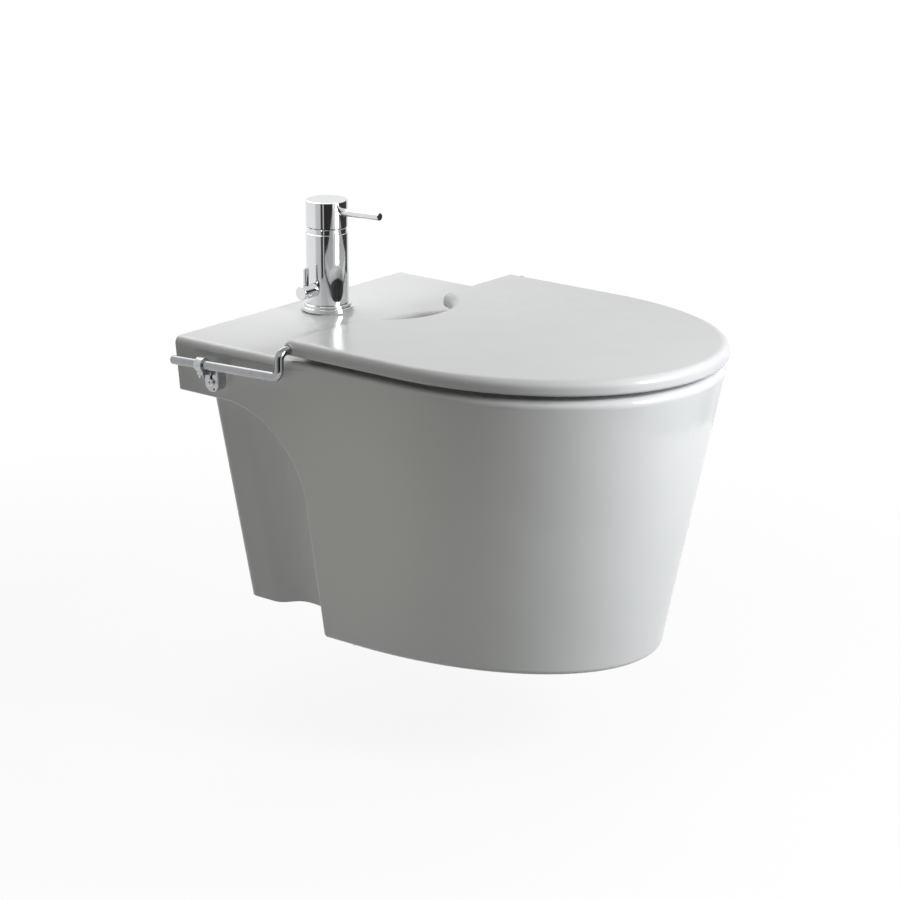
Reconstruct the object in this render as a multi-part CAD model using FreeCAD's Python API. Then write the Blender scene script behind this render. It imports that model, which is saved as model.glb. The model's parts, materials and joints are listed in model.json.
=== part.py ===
import FreeCAD, Part
import math
import os

# Wall-hung bidet with a hinged cover, a single-lever tap and a pop-up waste.
# Millimetres, Z up, wall plane at Y = 0, front toward -Y.
# The origin lies on the wall plane, midway between the two wall-bolt holes.
# Heights in this file count from the rim plane, and depths from the wall.

# Ceramic body
RIM = 95.0                # rim and tap deck above the bolt line
BODY_H = 292.5            # rim to underside
TOP_HALF = 180.0          # half width at the rim
TOP_FRONT = 514.0         # depth at the rim
SIDE_TAPER = 31.0         # each side leans in by this much over the height
FRONT_TAPER = 59.0
NOSE_TOP = 0.4455         # share of the depth at the rim that the rounded front takes
NOSE_LOW = 0.5383         # and of the depth at the underside
FULLNESS = 0.575          # share of the nose that the curve handles take
RIM_ROUND = 7.0
LOW_ROUND = 6.0
WALL = 13.0
DECK = 28.0               # thickness under the deck and the rim

# Rear side recesses
BLOCK_H = 57.0            # height of the deck block above each recess
RECESS_FLAT = 58.0        # level part of the recess top
RECESS_R = 101.0
RECESS_FOOT = 168.0       # front of the recess at the underside
RECESS_EDGE = 2.5

# Rear column
COLUMN_INSET = 44.0       # column flange behind the side of the rim
COLUMN_TAPER = 57.0
COLUMN_FOOT = 10.0        # column below the underside
COLUMN_SINK = 12.0        # column head inside the deck block
COLUMN_ROUND = 12.0
COLUMN_WALL = 30.0        # flange to the inner pipe space
FLANGE_Y = 36.0
WAIST_STEP = 20.0
WAIST_Y = 70.0
FLARE_Y = 188.0
FLARE_OUT = 20.0
FLARE_SHARE = 0.62
REAR_WALL = 18.0
DUCT_HALF = 45.0          # half width of the rear opening for the pipes
DUCT_TOP = 120.0          # below the rim
SPACE_BACK = 16.0         # space under the bowl behind the start of the nose

# Bowl
RIM_SIDE = 50.0           # rim width at the sides
RIM_FRONT = 37.0
BOWL_REAR = 127.0
BOWL_FLOOR = 127.5        # bowl floor above the underside
BOWL_LIP = 12.0
DRAIN_BACK = 57.0         # drain behind the middle of the bowl
DRAIN_R = 23.0
SEAT_R = 33.0
BOSS_R = 40.0
BOSS_H = 15.0
BOSS_RISE = 25.0

# Wall bolts
BOLT_X = 90.0
STUD_R = 6.5
SLEEVE_R = 9.0
SLEEVE_FLANGE = 13.0
SLEEVE_RIM = 3.0
POCKET_R = 15.0
POCKET_DEPTH = 34.0

# Cover
LID_SIDE = 0.5            # cover beyond the ceramic at each side
LID_NOSE = 2.0            # and at the front
LID_STRAIGHT = 3.0
LID_REAR = 146.0
LID_GAP = 5.8             # above the rim
LID_T = 15.0
LID_SKIN = 5.0
LID_EDGE = 8.0
LID_SOFT = 8.0            # upper edge radius
LID_HARD = 3.0            # lower edge radius
LID_CORNER = 5.0
NOTCH_HALF = 67.0
NOTCH_DEPTH = 47.0
PIVOT_Y = 155.0
PIVOT_LOW = 1.0           # pivot below the middle of the cover's edge
HINGE_BLOCK = 12.0
BUFFER_R = 6.0
BUFFER_PEG = 4.0
BUFFER_CLEAR = 0.2
BUFFER_BOSS = 10.0
BUFFER_ROUND = 1.5
BUFFER_IN = 25.0          # rear buffers from the side
BUFFER_Y = 205.0
BUFFER_NOSE_IN = 52.0     # front buffers from the side
BUFFER_NOSE = 114.0       # and from the front

# Cover hinge
ROD_R = 4.6
ROD_OUT = 15.0            # rod beyond the side of the ceramic
ROD_REAR = 10.0
ROD_LOW = 19.0            # rod below the rim at the wall end
ROD_HIGH = 13.0           # and at its front bend
ROD_BEND = 8.5
ROD_END = 3.2             # rounding of the wall end
ROD_GAP = 1.5             # rod end to the cover
SPIGOT_R = 3.0
SPIGOT_IN = 14.5
SPIGOT_FREE = 0.5
RUN = 0.08                # running clearance of the moving fits
BUSH_R = 5.0
BUSH_CAP = 2.0
BUSH_COLLAR = 0.3
BUSH_COLLAR_T = 1.2
PLATE_OUT = 8.0           # outer face of the bracket plate beyond the side
PLATE_BACK = 12.0
PLATE_Y = 57.0
PLATE_HALF = 9.0
PLATE_TOP = 20.0
PLATE_LOW = 46.0
PLATE_ROUND = 1.0
KEY_R = 2.2
KEY_HALF = 1.6
KEY_UP = 8.0
PEEP_R = 1.2
PEEP_Y = 3.5
PEEP_Z = 43.0
SCREW_Z = 36.0            # bracket screw below the rim
SCREW_R = 2.0
SCREW_HEAD_R = 4.0
SCREW_HEAD_H = 2.6
SCREW_HEAD_ROUND = 1.2
SCREW_IN = 26.0
CROSS_LONG = 2.4
CROSS_WIDE = 0.4
CROSS_DEEP = 1.2
ANCHOR_R = 4.0
ANCHOR_IN = 30.0
COLLAR_Y = 51.0
COLLAR_R = 7.0
COLLAR_L = 9.0
COLLAR_LOW = 28.0
LUG_HALF = 4.0
LUG_OUT = 3.0
TONGUE_T = 3.5
TONGUE_Y = 9.0
TONGUE_TOP = 21.0
CLAMP_R = 2.0
CLAMP_HEAD_R = 3.2
CLAMP_HEAD_H = 2.6
CLAMP_HEAD_IN = 1.0

# Tap, heights above the deck
TAP_Y = 47.0
TAP_R = 22.0
TAP_TOP = 83.0
EDGE = 0.5                # broken edges of the turned pieces
GASKET_R = 26.0
GASKET_T = 1.5
RING_R = 27.5
RING_TOP = 5.5
RING_ROUND = 1.2
BASE_R = 25.0
BASE_TOP = 8.5
BASE_ROUND = 1.0
SHANK_R = 17.0
SHANK_WALL = 2.4
SHANK_TOP = 14.0
SHANK_LOW = 75.0
SHANK_PLAY = 0.5
HOLE_PLAY = 1.0
BODY_BORE = 15.5
CHAMBER_R = 18.0
CARTRIDGE_R = 17.5
CARTRIDGE_Z = 46.0
CARTRIDGE_TOP = 72.0
TURRET_R = 13.0
TURRET_Z = 52.0
TURRET_TOP = 71.6
TURRET_SLOT_Z = 57.5
TURRET_SLOT_FRONT = 5.4
TURRET_SLOT_REAR = 8.4
TURRET_SLOT_HALF = 4.2
TILT_Z = 65.5
TILT_PIN_R = 1.5
TILT_PIN_HALF = 12.0
STEM_HALF = 4.0
STEM_TOP = 102.0
BEZEL_R = 21.0
BEZEL_TOP = 88.4
BEZEL_BORE = 14.5
CAP_GAP = 1.2
CAP_R = 21.8
CAP_WALL = 2.2
CAP_ROOF = 100.5
CAP_TOP = 117.0
CAP_ROUND = 1.2
CAP_BOSS = 9.0
CAP_BOSS_Z = 93.4
CAP_SCREW_Z = 97.0
CAP_SCREW_R = 2.5
CAP_SCREW_END = 9.2
CAP_KEY = 1.1
CAP_KEY_DEEP = 2.0
CAP_SCREW_HOLE = 40.0
LEVER_Z = 105.7
LEVER_R = 4.1
LEVER_ROOT = 9.0
LEVER_REACH = 72.0
LEVER_RISE = 2.0          # degrees
NUT_ACROSS = 46.0
NUT_H = 11.0
WASHER_R = 27.0
WASHER_PLAY = 0.3
WASHER_T = 3.0
INLET_X = 7.5
INLET_BACK = 6.0
INLET_R = 4.5
INLET_TOP = 60.0
MANIFOLD_TOP = 50.0
TUBE_R = 3.0
TUBE_BORE = 2.2
CHANNEL_R = 6.0           # water channel through the deck
CHANNEL_IN = 12.0
CHANNEL_OUT = 26.0
CHANNEL_PAST = 14.0
PORT_R = 5.0
PORT_L = 30.0

# Waste control
GLAND_R = 6.5
GLAND_OUT = 23.0
GLAND_IN = 14.6
KNOB_X = 33.5             # pin from the tap axis
KNOB_Z = 25.0
KNOB_R = 7.2
KNOB_FACE = 23.2
KNOB_END = 42.0
KNOB_ROUND = 0.8
PIN_R = 2.9
PIN_TOP = 50.5
PIN_EDGE = 0.6
SPINDLE_R = 3.0
SPINDLE_OUT = 36.0
SPINDLE_IN = 4.0
CRANK = 12.0
CRANK_REST = 30.0         # degrees above level at rest
CRANK_T = 2.5
HUB_R = 4.5
ARM_HALF = 2.2
ARM_END_R = 2.8
PEG_R = 1.4
PEG_END = 2.5
LIFT_R = 2.0
EYE_HALF = 1.2
EYE_FRONT = 5.0
EYE_REAR = 4.0
EYE_LOW = 5.0
SLOT_FRONT = 3.3
SLOT_REAR = 1.7
SLOT_HALF = 1.6
STRAP_X = 5.0
STRAP_Y = 4.0
STRAP_Z = 7.0
STRAP_HOLD = 5.0

# Waste
SEAL_T = 2.0
SEAL_R = 31.0
SEAL_IN = 1.0
FLANGE_R = 32.0
FLANGE_T = 4.0
FLANGE_ROUND = 2.5
THREAD_R = 21.5
THREAD_L = 28.0           # threaded tube below the drain boss
BORE_R = 18.0
CONE_R = 24.5
CONE_H = 5.0
PLUG_R = 23.5
PLUG_FOOT = 17.6
PLUG_SINK = 0.6
PLUG_CONE = 4.6
PLUG_LOW = 4.0
PLUG_TOP = 7.0
PLUG_ROUND = 2.5
PLUG_STEM = 4.0
PLUG_EYE = 6.5
FIN_HALF = 1.0
FIN_LOW = 8.0
FIN_GAP = 0.3
WASTE_WASHER_R = 34.0
WASTE_WASHER_T = 3.0
WASTE_WASHER_PLAY = 0.2
BACK_NUT_ACROSS = 58.0
BACK_NUT_H = 8.0
SOCKET_R = 25.0
SOCKET_TOP = 14.0
SOCKET_LOW = 32.0
BARREL_R = 20.5
BARREL_LOW = 68.0
BARREL_FLOOR = 2.0
TAIL_R = 16.0
TAIL_WALL = 1.5
TAIL_LOW = 104.0
BALL_BACK = 45.0          # ball centre behind the drain axis
BALL_DROP = 45.0          # and below the drain boss
BALL_R = 7.0
BALL_BELT = 6.85
PIVOT_R = 2.5
PIVOT_PLAY = 0.6
PIVOT_FRONT = 7.0
PIVOT_REAR = 12.0
SNOUT_R = 11.0
SNOUT_BORE = 6.4
SNOUT_BACK = 3.0
BALL_NUT_R = 14.0
BALL_NUT_FRONT = 14.0
BALL_NUT_REAR = 8.0
BALL_NUT_HOLE = 4.5

# Sizes that follow from the ones above
LOW_HALF = TOP_HALF - SIDE_TAPER
LOW_FRONT = TOP_FRONT - FRONT_TAPER
TOP_START = TOP_FRONT * (1 - NOSE_TOP)
LOW_START = LOW_FRONT * (1 - NOSE_LOW)
SPACE_Y = LOW_START - SPACE_BACK
FLANGE_TOP = TOP_HALF - COLUMN_INSET
FLANGE_LOW = FLANGE_TOP - COLUMN_TAPER
COLUMN_H = BODY_H + COLUMN_FOOT
BOWL_A = TOP_HALF - RIM_SIDE
BOWL_B = (TOP_FRONT - RIM_FRONT - BOWL_REAR) / 2
BOWL_Y = BOWL_REAR + BOWL_B
BOWL_DEPTH = BODY_H - BOWL_FLOOR
DRAIN_Y = BOWL_Y - DRAIN_BACK
# Depth, width, length and rearward shift of the bowl sections, as shares
BOWL_SHAPE = ((-0.024, 1.004, 1.004, 0.0), (0.303, 0.945, 0.935, 0.023), (0.606, 0.81, 0.79, 0.08),
              (0.848, 0.565, 0.545, 0.194), (1.0, 0.24, 0.20, DRAIN_BACK / BOWL_B))
DRAIN_SEAT = BOWL_DEPTH
DRAIN_LOW = DRAIN_SEAT + BOSS_H
SEAT_Z = -DRAIN_SEAT + SEAL_T
BALL_Y = -DRAIN_Y + BALL_BACK
BALL_Z = -DRAIN_LOW - BALL_DROP
LID_HALF = TOP_HALF + LID_SIDE
LID_FRONT = TOP_FRONT + LID_NOSE
LID_START = TOP_START + LID_STRAIGHT
PIVOT_Z = LID_GAP + LID_T / 2 - PIVOT_LOW
SPIGOT_END = LID_HALF - SPIGOT_IN
ROD_X = TOP_HALF + ROD_OUT
PLATE_X = TOP_HALF + PLATE_OUT
BUFFERS = ((BUFFER_IN - TOP_HALF, -BUFFER_Y), (TOP_HALF - BUFFER_IN, -BUFFER_Y),
           (BUFFER_NOSE_IN - TOP_HALF, BUFFER_NOSE - TOP_FRONT),
           (TOP_HALF - BUFFER_NOSE_IN, BUFFER_NOSE - TOP_FRONT))
CRANK_Y = -TAP_Y - CRANK * math.cos(math.radians(CRANK_REST))
CRANK_Z = KNOB_Z + CRANK * math.sin(math.radians(CRANK_REST))
# Rest slope of the pivot rod: half the crank's travel over the rod's outer arm
PIVOT_SLOPE = CRANK * math.sin(math.radians(CRANK_REST)) / (CRANK_Y - BALL_Y)

PAST = 1.0                # cutters run past the faces by this much
NEAR = 0.01
X_AXIS = FreeCAD.Vector(1, 0, 0)
Y_AXIS = FreeCAD.Vector(0, 1, 0)
Z_AXIS = FreeCAD.Vector(0, 0, 1)


def vec(x, y, z):
    """Point whose height is given above the rim plane."""
    return FreeCAD.Vector(x, y, RIM + z)


def line(a, b):
    return Part.makeLine(a, b)


def bezier(points):
    curve = Part.BezierCurve()
    curve.setPoles(points)
    return curve.toShape()


def block(x0, x1, y0, y1, z0, z1):
    return Part.makeBox(x1 - x0, y1 - y0, z1 - z0, vec(x0, y0, z0))


def rod_x(radius, x0, x1, y, z):
    low, high = min(x0, x1), max(x0, x1)
    return Part.makeCylinder(radius, high - low, vec(low, y, z), X_AXIS)


def rod_y(radius, y0, y1, x, z):
    return Part.makeCylinder(radius, y1 - y0, vec(x, y0, z), Y_AXIS)


def rod_z(radius, x, y, z0, z1):
    return Part.makeCylinder(radius, z1 - z0, vec(x, y, z0), Z_AXIS)


def hexagon_z(across, x, y, z0, z1):
    radius = across / math.sqrt(3)
    points = []
    for k in range(7):
        turn = math.radians(60 * k)
        points.append(vec(x + radius * math.cos(turn), y + radius * math.sin(turn), z0))
    return Part.Face(Part.makePolygon(points)).extrude(FreeCAD.Vector(0, 0, z1 - z0))


def edges_where(shape, test):
    return [edge for edge in shape.Edges if test(edge.BoundBox)]


def mirrored(shape):
    return shape.mirror(FreeCAD.Vector(0, 0, 0), X_AXIS)


def plan_wire(half, rear, start, front, z):
    """Straight sides and rear edge with a full rounded front."""
    reach = front - start
    left = [vec(-half, -start, z), vec(-half, -start - FULLNESS * reach, z),
            vec(-FULLNESS * half, -front, z), vec(0, -front, z)]
    right = [FreeCAD.Vector(-p.x, p.y, p.z) for p in left]
    edges = [line(vec(-half, -rear, z), left[0]), bezier(left), bezier(right[::-1]),
             line(right[0], vec(half, -rear, z)), line(vec(half, -rear, z), vec(-half, -rear, z))]
    return Part.Wire(edges)


def skirt(inset, rear, z_top, z_low):
    """Tapered body volume, moved inward by inset."""
    wires = []
    for z in (z_top, z_low):
        share = -z / BODY_H
        half = TOP_HALF - SIDE_TAPER * share - inset
        start = TOP_START + (LOW_START - TOP_START) * share
        front = TOP_FRONT - FRONT_TAPER * share - inset
        wires.append(plan_wire(half, rear, start, front, z))
    return Part.makeLoft(wires, True, True)


def recess_volume():
    """Profile of the rear recesses in Y and Z, swept across X."""
    x = -2 * TOP_HALF
    behind = COLUMN_ROUND
    centre_z = -BLOCK_H - RECESS_R
    diagonal = RECESS_R * math.sqrt(0.5)
    top_rear = vec(x, behind, -BLOCK_H)
    arc_start = vec(x, -RECESS_FLAT, -BLOCK_H)
    arc_mid = vec(x, -RECESS_FLAT - diagonal, centre_z + diagonal)
    arc_end = vec(x, -RECESS_FLAT - RECESS_R, centre_z)
    low_front = vec(x, -RECESS_FOOT, -BODY_H)
    low_rear = vec(x, behind, -BODY_H)
    edges = [line(top_rear, arc_start), Part.Arc(arc_start, arc_mid, arc_end).toShape(),
             line(arc_end, low_front), line(low_front, low_rear), line(low_rear, top_rear)]
    return Part.Face(Part.Wire(edges)).extrude(FreeCAD.Vector(4 * TOP_HALF, 0, 0))


def is_recess_edge(edge):
    """True for the outer edge between a recess and the side of the body."""
    box = edge.BoundBox
    outside = min(abs(box.XMin), abs(box.XMax)) > LOW_HALF - LOW_ROUND
    below_block = box.ZMax < RIM - BLOCK_H + PAST
    above_floor = box.ZMax > RIM - BODY_H + LOW_ROUND + PAST
    behind = box.YMin > -RECESS_FOOT and box.YMax - box.YMin > LOW_ROUND
    return outside and below_block and above_floor and behind


def column_wire(flange, z):
    waist = flange - WAIST_STEP
    flare = waist + FLARE_SHARE * (LOW_HALF - waist + FLARE_OUT)
    soft = 0.45 * COLUMN_ROUND
    step = WAIST_Y - FLANGE_Y
    run = FLARE_Y - WAIST_Y
    right = [
        bezier([vec(flange - COLUMN_ROUND, 0, z), vec(flange - soft, 0, z),
                vec(flange, -soft, z), vec(flange, -COLUMN_ROUND, z)]),
        line(vec(flange, -COLUMN_ROUND, z), vec(flange, -FLANGE_Y, z)),
        bezier([vec(flange, -FLANGE_Y, z), vec(flange, -FLANGE_Y - 0.53 * step, z),
                vec(waist, -FLANGE_Y - 0.41 * step, z), vec(waist, -WAIST_Y, z)]),
        bezier([vec(waist, -WAIST_Y, z), vec(waist, -WAIST_Y - 0.45 * run, z),
                vec(flare - 0.2 * run, -WAIST_Y - 0.82 * run, z), vec(flare, -FLARE_Y, z)]),
    ]
    left = [mirrored(edge) for edge in right]
    rear = line(vec(-flange + COLUMN_ROUND, 0, z), vec(flange - COLUMN_ROUND, 0, z))
    front = line(vec(flare, -FLARE_Y, z), vec(-flare, -FLARE_Y, z))
    return Part.Wire(Part.__sortEdges__([rear] + right + [front] + left))


def column_volume():
    wires = [column_wire(FLANGE_TOP, COLUMN_SINK - BLOCK_H), column_wire(FLANGE_LOW, -COLUMN_H)]
    return Part.makeLoft(wires, True, True)


def tapered_box(half_top, half_low, y0, y1, z_top, z_low):
    wires = []
    for half, z in ((half_top, z_top), (half_low, z_low)):
        corners = [vec(-half, y0, z), vec(half, y0, z), vec(half, y1, z), vec(-half, y1, z)]
        wires.append(Part.makePolygon(corners + corners[:1]))
    return Part.makeLoft(wires, True, True)


def ellipse_wire(a, b, y, z):
    long_end = vec(0, y + b, z)
    short_end = vec(a, y, z)
    if a > b:
        long_end, short_end = short_end, long_end
    return Part.Wire(Part.Ellipse(long_end, short_end, vec(0, y, z)).toShape())


def bowl_volume(grow):
    """Smooth bowl whose wall is moved outward by grow."""
    wires = []
    for depth, wide, long, back in BOWL_SHAPE:
        z = -depth * BOWL_DEPTH
        if depth == 1.0:
            z = z - grow
        y = back * BOWL_B - BOWL_Y
        wires.append(ellipse_wire(BOWL_A * wide + grow, BOWL_B * long + grow, y, z))
    return Part.makeLoft(wires, True, False)


def pipe_space():
    """Open space under the bowl and inside the rear column."""
    low = -COLUMN_H - PAST
    front = skirt(WALL, SPACE_Y, -DECK, low)
    rear = tapered_box(FLANGE_TOP - COLUMN_WALL, FLANGE_LOW - COLUMN_WALL,
                       -SPACE_Y - PAST, -REAR_WALL, -DECK, low)
    duct = block(-DUCT_HALF, DUCT_HALF, -REAR_WALL - PAST, PAST, low, -DUCT_TOP)
    space = front.fuse([rear, duct])
    for side in (-1, 1):
        pocket = rod_y(POCKET_R, -REAR_WALL - POCKET_DEPTH, -REAR_WALL, side * BOLT_X, -RIM)
        space = space.fuse(pocket)
    boss = rod_z(BOSS_R, 0, -DRAIN_Y, -DRAIN_LOW, -DRAIN_SEAT + BOSS_RISE)
    return space.cut(bowl_volume(WALL)).cut(boss)


def channel_run():
    """Start and direction of the water channel from the tap to the bowl."""
    start = vec(0, -TAP_Y, -CHANNEL_IN)
    return start, vec(0, -BOWL_REAR - CHANNEL_PAST, -CHANNEL_OUT) - start


def water_channel():
    start, run = channel_run()
    return Part.makeCylinder(CHANNEL_R, run.Length, start, run)


def make_ceramic():
    top = RIM - NEAR
    floor = RIM - BODY_H + NEAR
    wide = 2 * TOP_HALF
    tail = 4 * RIM_ROUND
    shell = skirt(0, -tail, 0, -BODY_H)
    shell = shell.makeFillet(RIM_ROUND, edges_where(shell, lambda b: b.ZMin > top and b.YMin < -PAST))
    shell = shell.makeFillet(LOW_ROUND, edges_where(shell, lambda b: b.ZMax < floor and b.YMin < -PAST))
    shell = shell.cut(block(-wide, wide, 0, 2 * tail, -BODY_H - PAST, PAST))
    shell = shell.cut(recess_volume())
    shell = shell.makeFillet(RECESS_EDGE, [e for e in shell.Edges if is_recess_edge(e)])
    body = shell.fuse(column_volume())
    body = body.cut(bowl_volume(0))
    lip_rear = -BOWL_REAR + BOWL_LIP
    lip_front = -TOP_FRONT + RIM_FRONT - BOWL_LIP
    body = body.makeFillet(BOWL_LIP, edges_where(
        body, lambda b: b.ZMin > top and b.YMax < lip_rear and b.YMin > lip_front))
    body = body.cut(pipe_space())
    holes = [rod_z(SHANK_R + HOLE_PLAY, 0, -TAP_Y, -DECK - PAST, PAST), water_channel(),
             rod_z(DRAIN_R, 0, -DRAIN_Y, -DRAIN_LOW - PAST, -DRAIN_SEAT + PAST),
             rod_z(SEAT_R, 0, -DRAIN_Y, -DRAIN_SEAT, -DRAIN_SEAT + BOSS_RISE)]
    for side in (-1, 1):
        holes.append(rod_y(SLEEVE_R, -REAR_WALL - PAST, PAST, side * BOLT_X, -RIM))
        inner, outer = side * (TOP_HALF - ANCHOR_IN), side * (TOP_HALF + PLATE_OUT)
        holes.append(rod_x(ANCHOR_R, inner, outer, -PLATE_Y, -SCREW_Z))
    for hole in holes:
        body = body.cut(hole)
    return body


def notch_circle():
    """Radius and centre depth of the arc at the rear of the cover."""
    radius = (NOTCH_HALF ** 2 + NOTCH_DEPTH ** 2) / (2 * NOTCH_DEPTH)
    return radius, -LID_REAR + radius - NOTCH_DEPTH


def lid_pocket():
    """Hollow under the cover, with room left for the hinges and the buffers."""
    low = LID_GAP
    top = LID_GAP + LID_T
    radius, notch_y = notch_circle()
    inner = plan_wire(LID_HALF - LID_EDGE, LID_REAR + LID_EDGE, LID_START, LID_FRONT - LID_EDGE, low - PAST)
    pocket = Part.Face(inner).extrude(FreeCAD.Vector(0, 0, LID_T - LID_SKIN + PAST))
    pocket = pocket.cut(rod_z(radius + LID_EDGE, 0, notch_y, low - 2 * PAST, top))
    for side in (-1, 1):
        x0, x1 = sorted((side * (SPIGOT_END - LID_EDGE), side * LID_HALF))
        pocket = pocket.cut(block(x0, x1, -PIVOT_Y - HINGE_BLOCK, -LID_REAR, low - 2 * PAST, top))
    for x, y in BUFFERS:
        pocket = pocket.cut(rod_z(BUFFER_BOSS, x, y, low - 2 * PAST, top))
    return pocket


def make_lid():
    low = LID_GAP
    top = LID_GAP + LID_T
    wire = plan_wire(LID_HALF, LID_REAR, LID_START, LID_FRONT, low)
    plate = Part.Face(wire).extrude(FreeCAD.Vector(0, 0, LID_T))
    radius, notch_y = notch_circle()
    plate = plate.cut(rod_z(radius, 0, notch_y, low - PAST, top + PAST))
    upright = edges_where(plate, lambda b: b.ZMax - b.ZMin > LID_T / 2 and b.YMin > -LID_REAR - PAST)
    plate = plate.makeFillet(LID_CORNER, upright)
    level = RIM + top - NEAR
    floor = RIM + low + NEAR
    plate = plate.makeFillet(LID_SOFT, edges_where(plate, lambda b: b.ZMin > level))
    plate = plate.makeFillet(LID_HARD, edges_where(plate, lambda b: b.ZMax < floor))
    plate = plate.cut(lid_pocket())
    for side in (-1, 1):
        inner, outer = side * (SPIGOT_END - BUSH_CAP), side * (LID_HALF + PAST)
        plate = plate.cut(rod_x(BUSH_R, inner, outer, -PIVOT_Y, PIVOT_Z))
    for x, y in BUFFERS:
        plate = plate.cut(rod_z(BUFFER_PEG, x, y, low - PAST, low + BUFFER_PEG))
    return plate


def make_buffer(x, y):
    pad = rod_z(BUFFER_R, x, y, BUFFER_CLEAR, LID_GAP)
    pad = pad.makeFillet(BUFFER_ROUND, edges_where(pad, lambda b: b.ZMax < RIM + BUFFER_CLEAR + NEAR))
    peg = rod_z(BUFFER_PEG, x, y, BUFFER_CLEAR + BUFFER_ROUND, LID_GAP + BUFFER_PEG)
    return pad.fuse(peg).removeSplitter()


def make_bush():
    """Plastic liner of the right cover hinge."""
    sleeve = rod_x(BUSH_R, SPIGOT_END - BUSH_CAP, LID_HALF, -PIVOT_Y, PIVOT_Z)
    collar = rod_x(BUSH_R + BUSH_COLLAR, LID_HALF, LID_HALF + BUSH_COLLAR_T, -PIVOT_Y, PIVOT_Z)
    bore = rod_x(SPIGOT_R + RUN, SPIGOT_END, LID_HALF + BUSH_COLLAR_T + PAST, -PIVOT_Y, PIVOT_Z)
    return sleeve.fuse(collar).removeSplitter().cut(bore)


def bent_bar(points, bend, radius):
    """Round bar through the points, with arcs of the bend radius at the corners."""
    edges = []
    last = points[0]
    for before, corner, after in zip(points, points[1:], points[2:]):
        into = (corner - before).normalize()
        out = (after - corner).normalize()
        half = into.getAngle(out) / 2
        trim = bend * math.tan(half)
        begin = corner - into * trim
        end = corner + out * trim
        centre_way = (out - into).normalize()
        centre = corner + centre_way * (bend / math.cos(half))
        edges.append(line(last, begin))
        edges.append(Part.Arc(begin, centre - centre_way * bend, end).toShape())
        last = end
    edges.append(line(last, points[-1]))
    way = (points[1] - points[0]).normalize()
    profile = Part.Wire(Part.makeCircle(radius, points[0], way))
    return Part.Wire(edges).makePipeShell([profile], True, True)


def rod_height(y):
    """Height of the hinge rod's axis at a distance y from the wall."""
    share = (y - ROD_REAR) / (PIVOT_Y - ROD_REAR)
    return -ROD_LOW + (ROD_LOW - ROD_HIGH) * share


def make_hinge_rod():
    """Right hinge rod, whose inner end is the cover's pivot."""
    rear = vec(ROD_X, -ROD_REAR, -ROD_LOW)
    foot = vec(ROD_X, -PIVOT_Y, -ROD_HIGH)
    head = vec(ROD_X, -PIVOT_Y, PIVOT_Z)
    inner = vec(LID_HALF + ROD_GAP, -PIVOT_Y, PIVOT_Z)
    bar = bent_bar([rear, foot, head, inner], ROD_BEND, ROD_R)
    bar = bar.makeFillet(ROD_END, edges_where(bar, lambda b: b.YMin > -ROD_REAR - PAST))
    spigot = rod_x(SPIGOT_R, SPIGOT_END + SPIGOT_FREE, LID_HALF + 2 * ROD_GAP, -PIVOT_Y, PIVOT_Z)
    return bar.fuse(spigot).removeSplitter()


def collar_bar(radius, length):
    """Round bar on the hinge rod's axis, centred in the collar."""
    point = vec(ROD_X, -COLLAR_Y, rod_height(COLLAR_Y))
    way = vec(ROD_X, -PIVOT_Y, -ROD_HIGH) - vec(ROD_X, -ROD_REAR, -ROD_LOW)
    way.normalize()
    return Part.makeCylinder(radius, length, point - way * (length / 2), way)


def make_collar():
    """Clamp collar that ties the right rod to its bracket."""
    axis_z = rod_height(COLLAR_Y)
    rear = -COLLAR_Y + LUG_HALF
    lug = block(PLATE_X, ROD_X + LUG_OUT, -COLLAR_Y - LUG_HALF, rear, -COLLAR_LOW, axis_z)
    tongue = block(PLATE_X, PLATE_X + TONGUE_T, -COLLAR_Y - TONGUE_Y, rear, -COLLAR_LOW, -TONGUE_TOP)
    body = collar_bar(COLLAR_R, COLLAR_L).fuse([lug, tongue]).removeSplitter()
    body = body.cut(collar_bar(ROD_R, 4 * COLLAR_L))
    return body.cut(rod_z(CLAMP_R, ROD_X, -COLLAR_Y, -COLLAR_LOW - PAST, axis_z))


def make_clamp_screw():
    shank = rod_z(CLAMP_R, ROD_X, -COLLAR_Y, -COLLAR_LOW - CLAMP_HEAD_IN, rod_height(COLLAR_Y))
    shank = shank.cut(collar_bar(ROD_R, 4 * COLLAR_L))
    head = rod_z(CLAMP_HEAD_R, ROD_X, -COLLAR_Y, -COLLAR_LOW - CLAMP_HEAD_H, -COLLAR_LOW)
    return shank.fuse(head).removeSplitter()


def make_bracket():
    """Keyhole plate on the right side of the ceramic, cut to the sloping side."""
    back, past = TOP_HALF - PLATE_BACK, PLATE_X + PAST
    middle = -PLATE_LOW + PLATE_HALF
    plate = block(back, PLATE_X, -PLATE_Y - PLATE_HALF, -PLATE_Y + PLATE_HALF, middle, -PLATE_TOP)
    plate = plate.fuse(rod_x(PLATE_HALF, back, PLATE_X, -PLATE_Y, middle)).removeSplitter()
    plate = plate.makeFillet(PLATE_ROUND, edges_where(plate, lambda b: b.XMin > PLATE_X - NEAR))
    slot = rod_x(KEY_R, back - PAST, past, -PLATE_Y, -SCREW_Z)
    slot = slot.fuse(block(back - PAST, past, -PLATE_Y - KEY_HALF, -PLATE_Y + KEY_HALF,
                           -SCREW_Z, -SCREW_Z + KEY_UP))
    peep = rod_x(PEEP_R, back - PAST, past, -PLATE_Y - PEEP_Y, -PEEP_Z)
    return plate.cut(slot).cut(peep).cut(skirt(0, 0, 0, -BODY_H))


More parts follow.
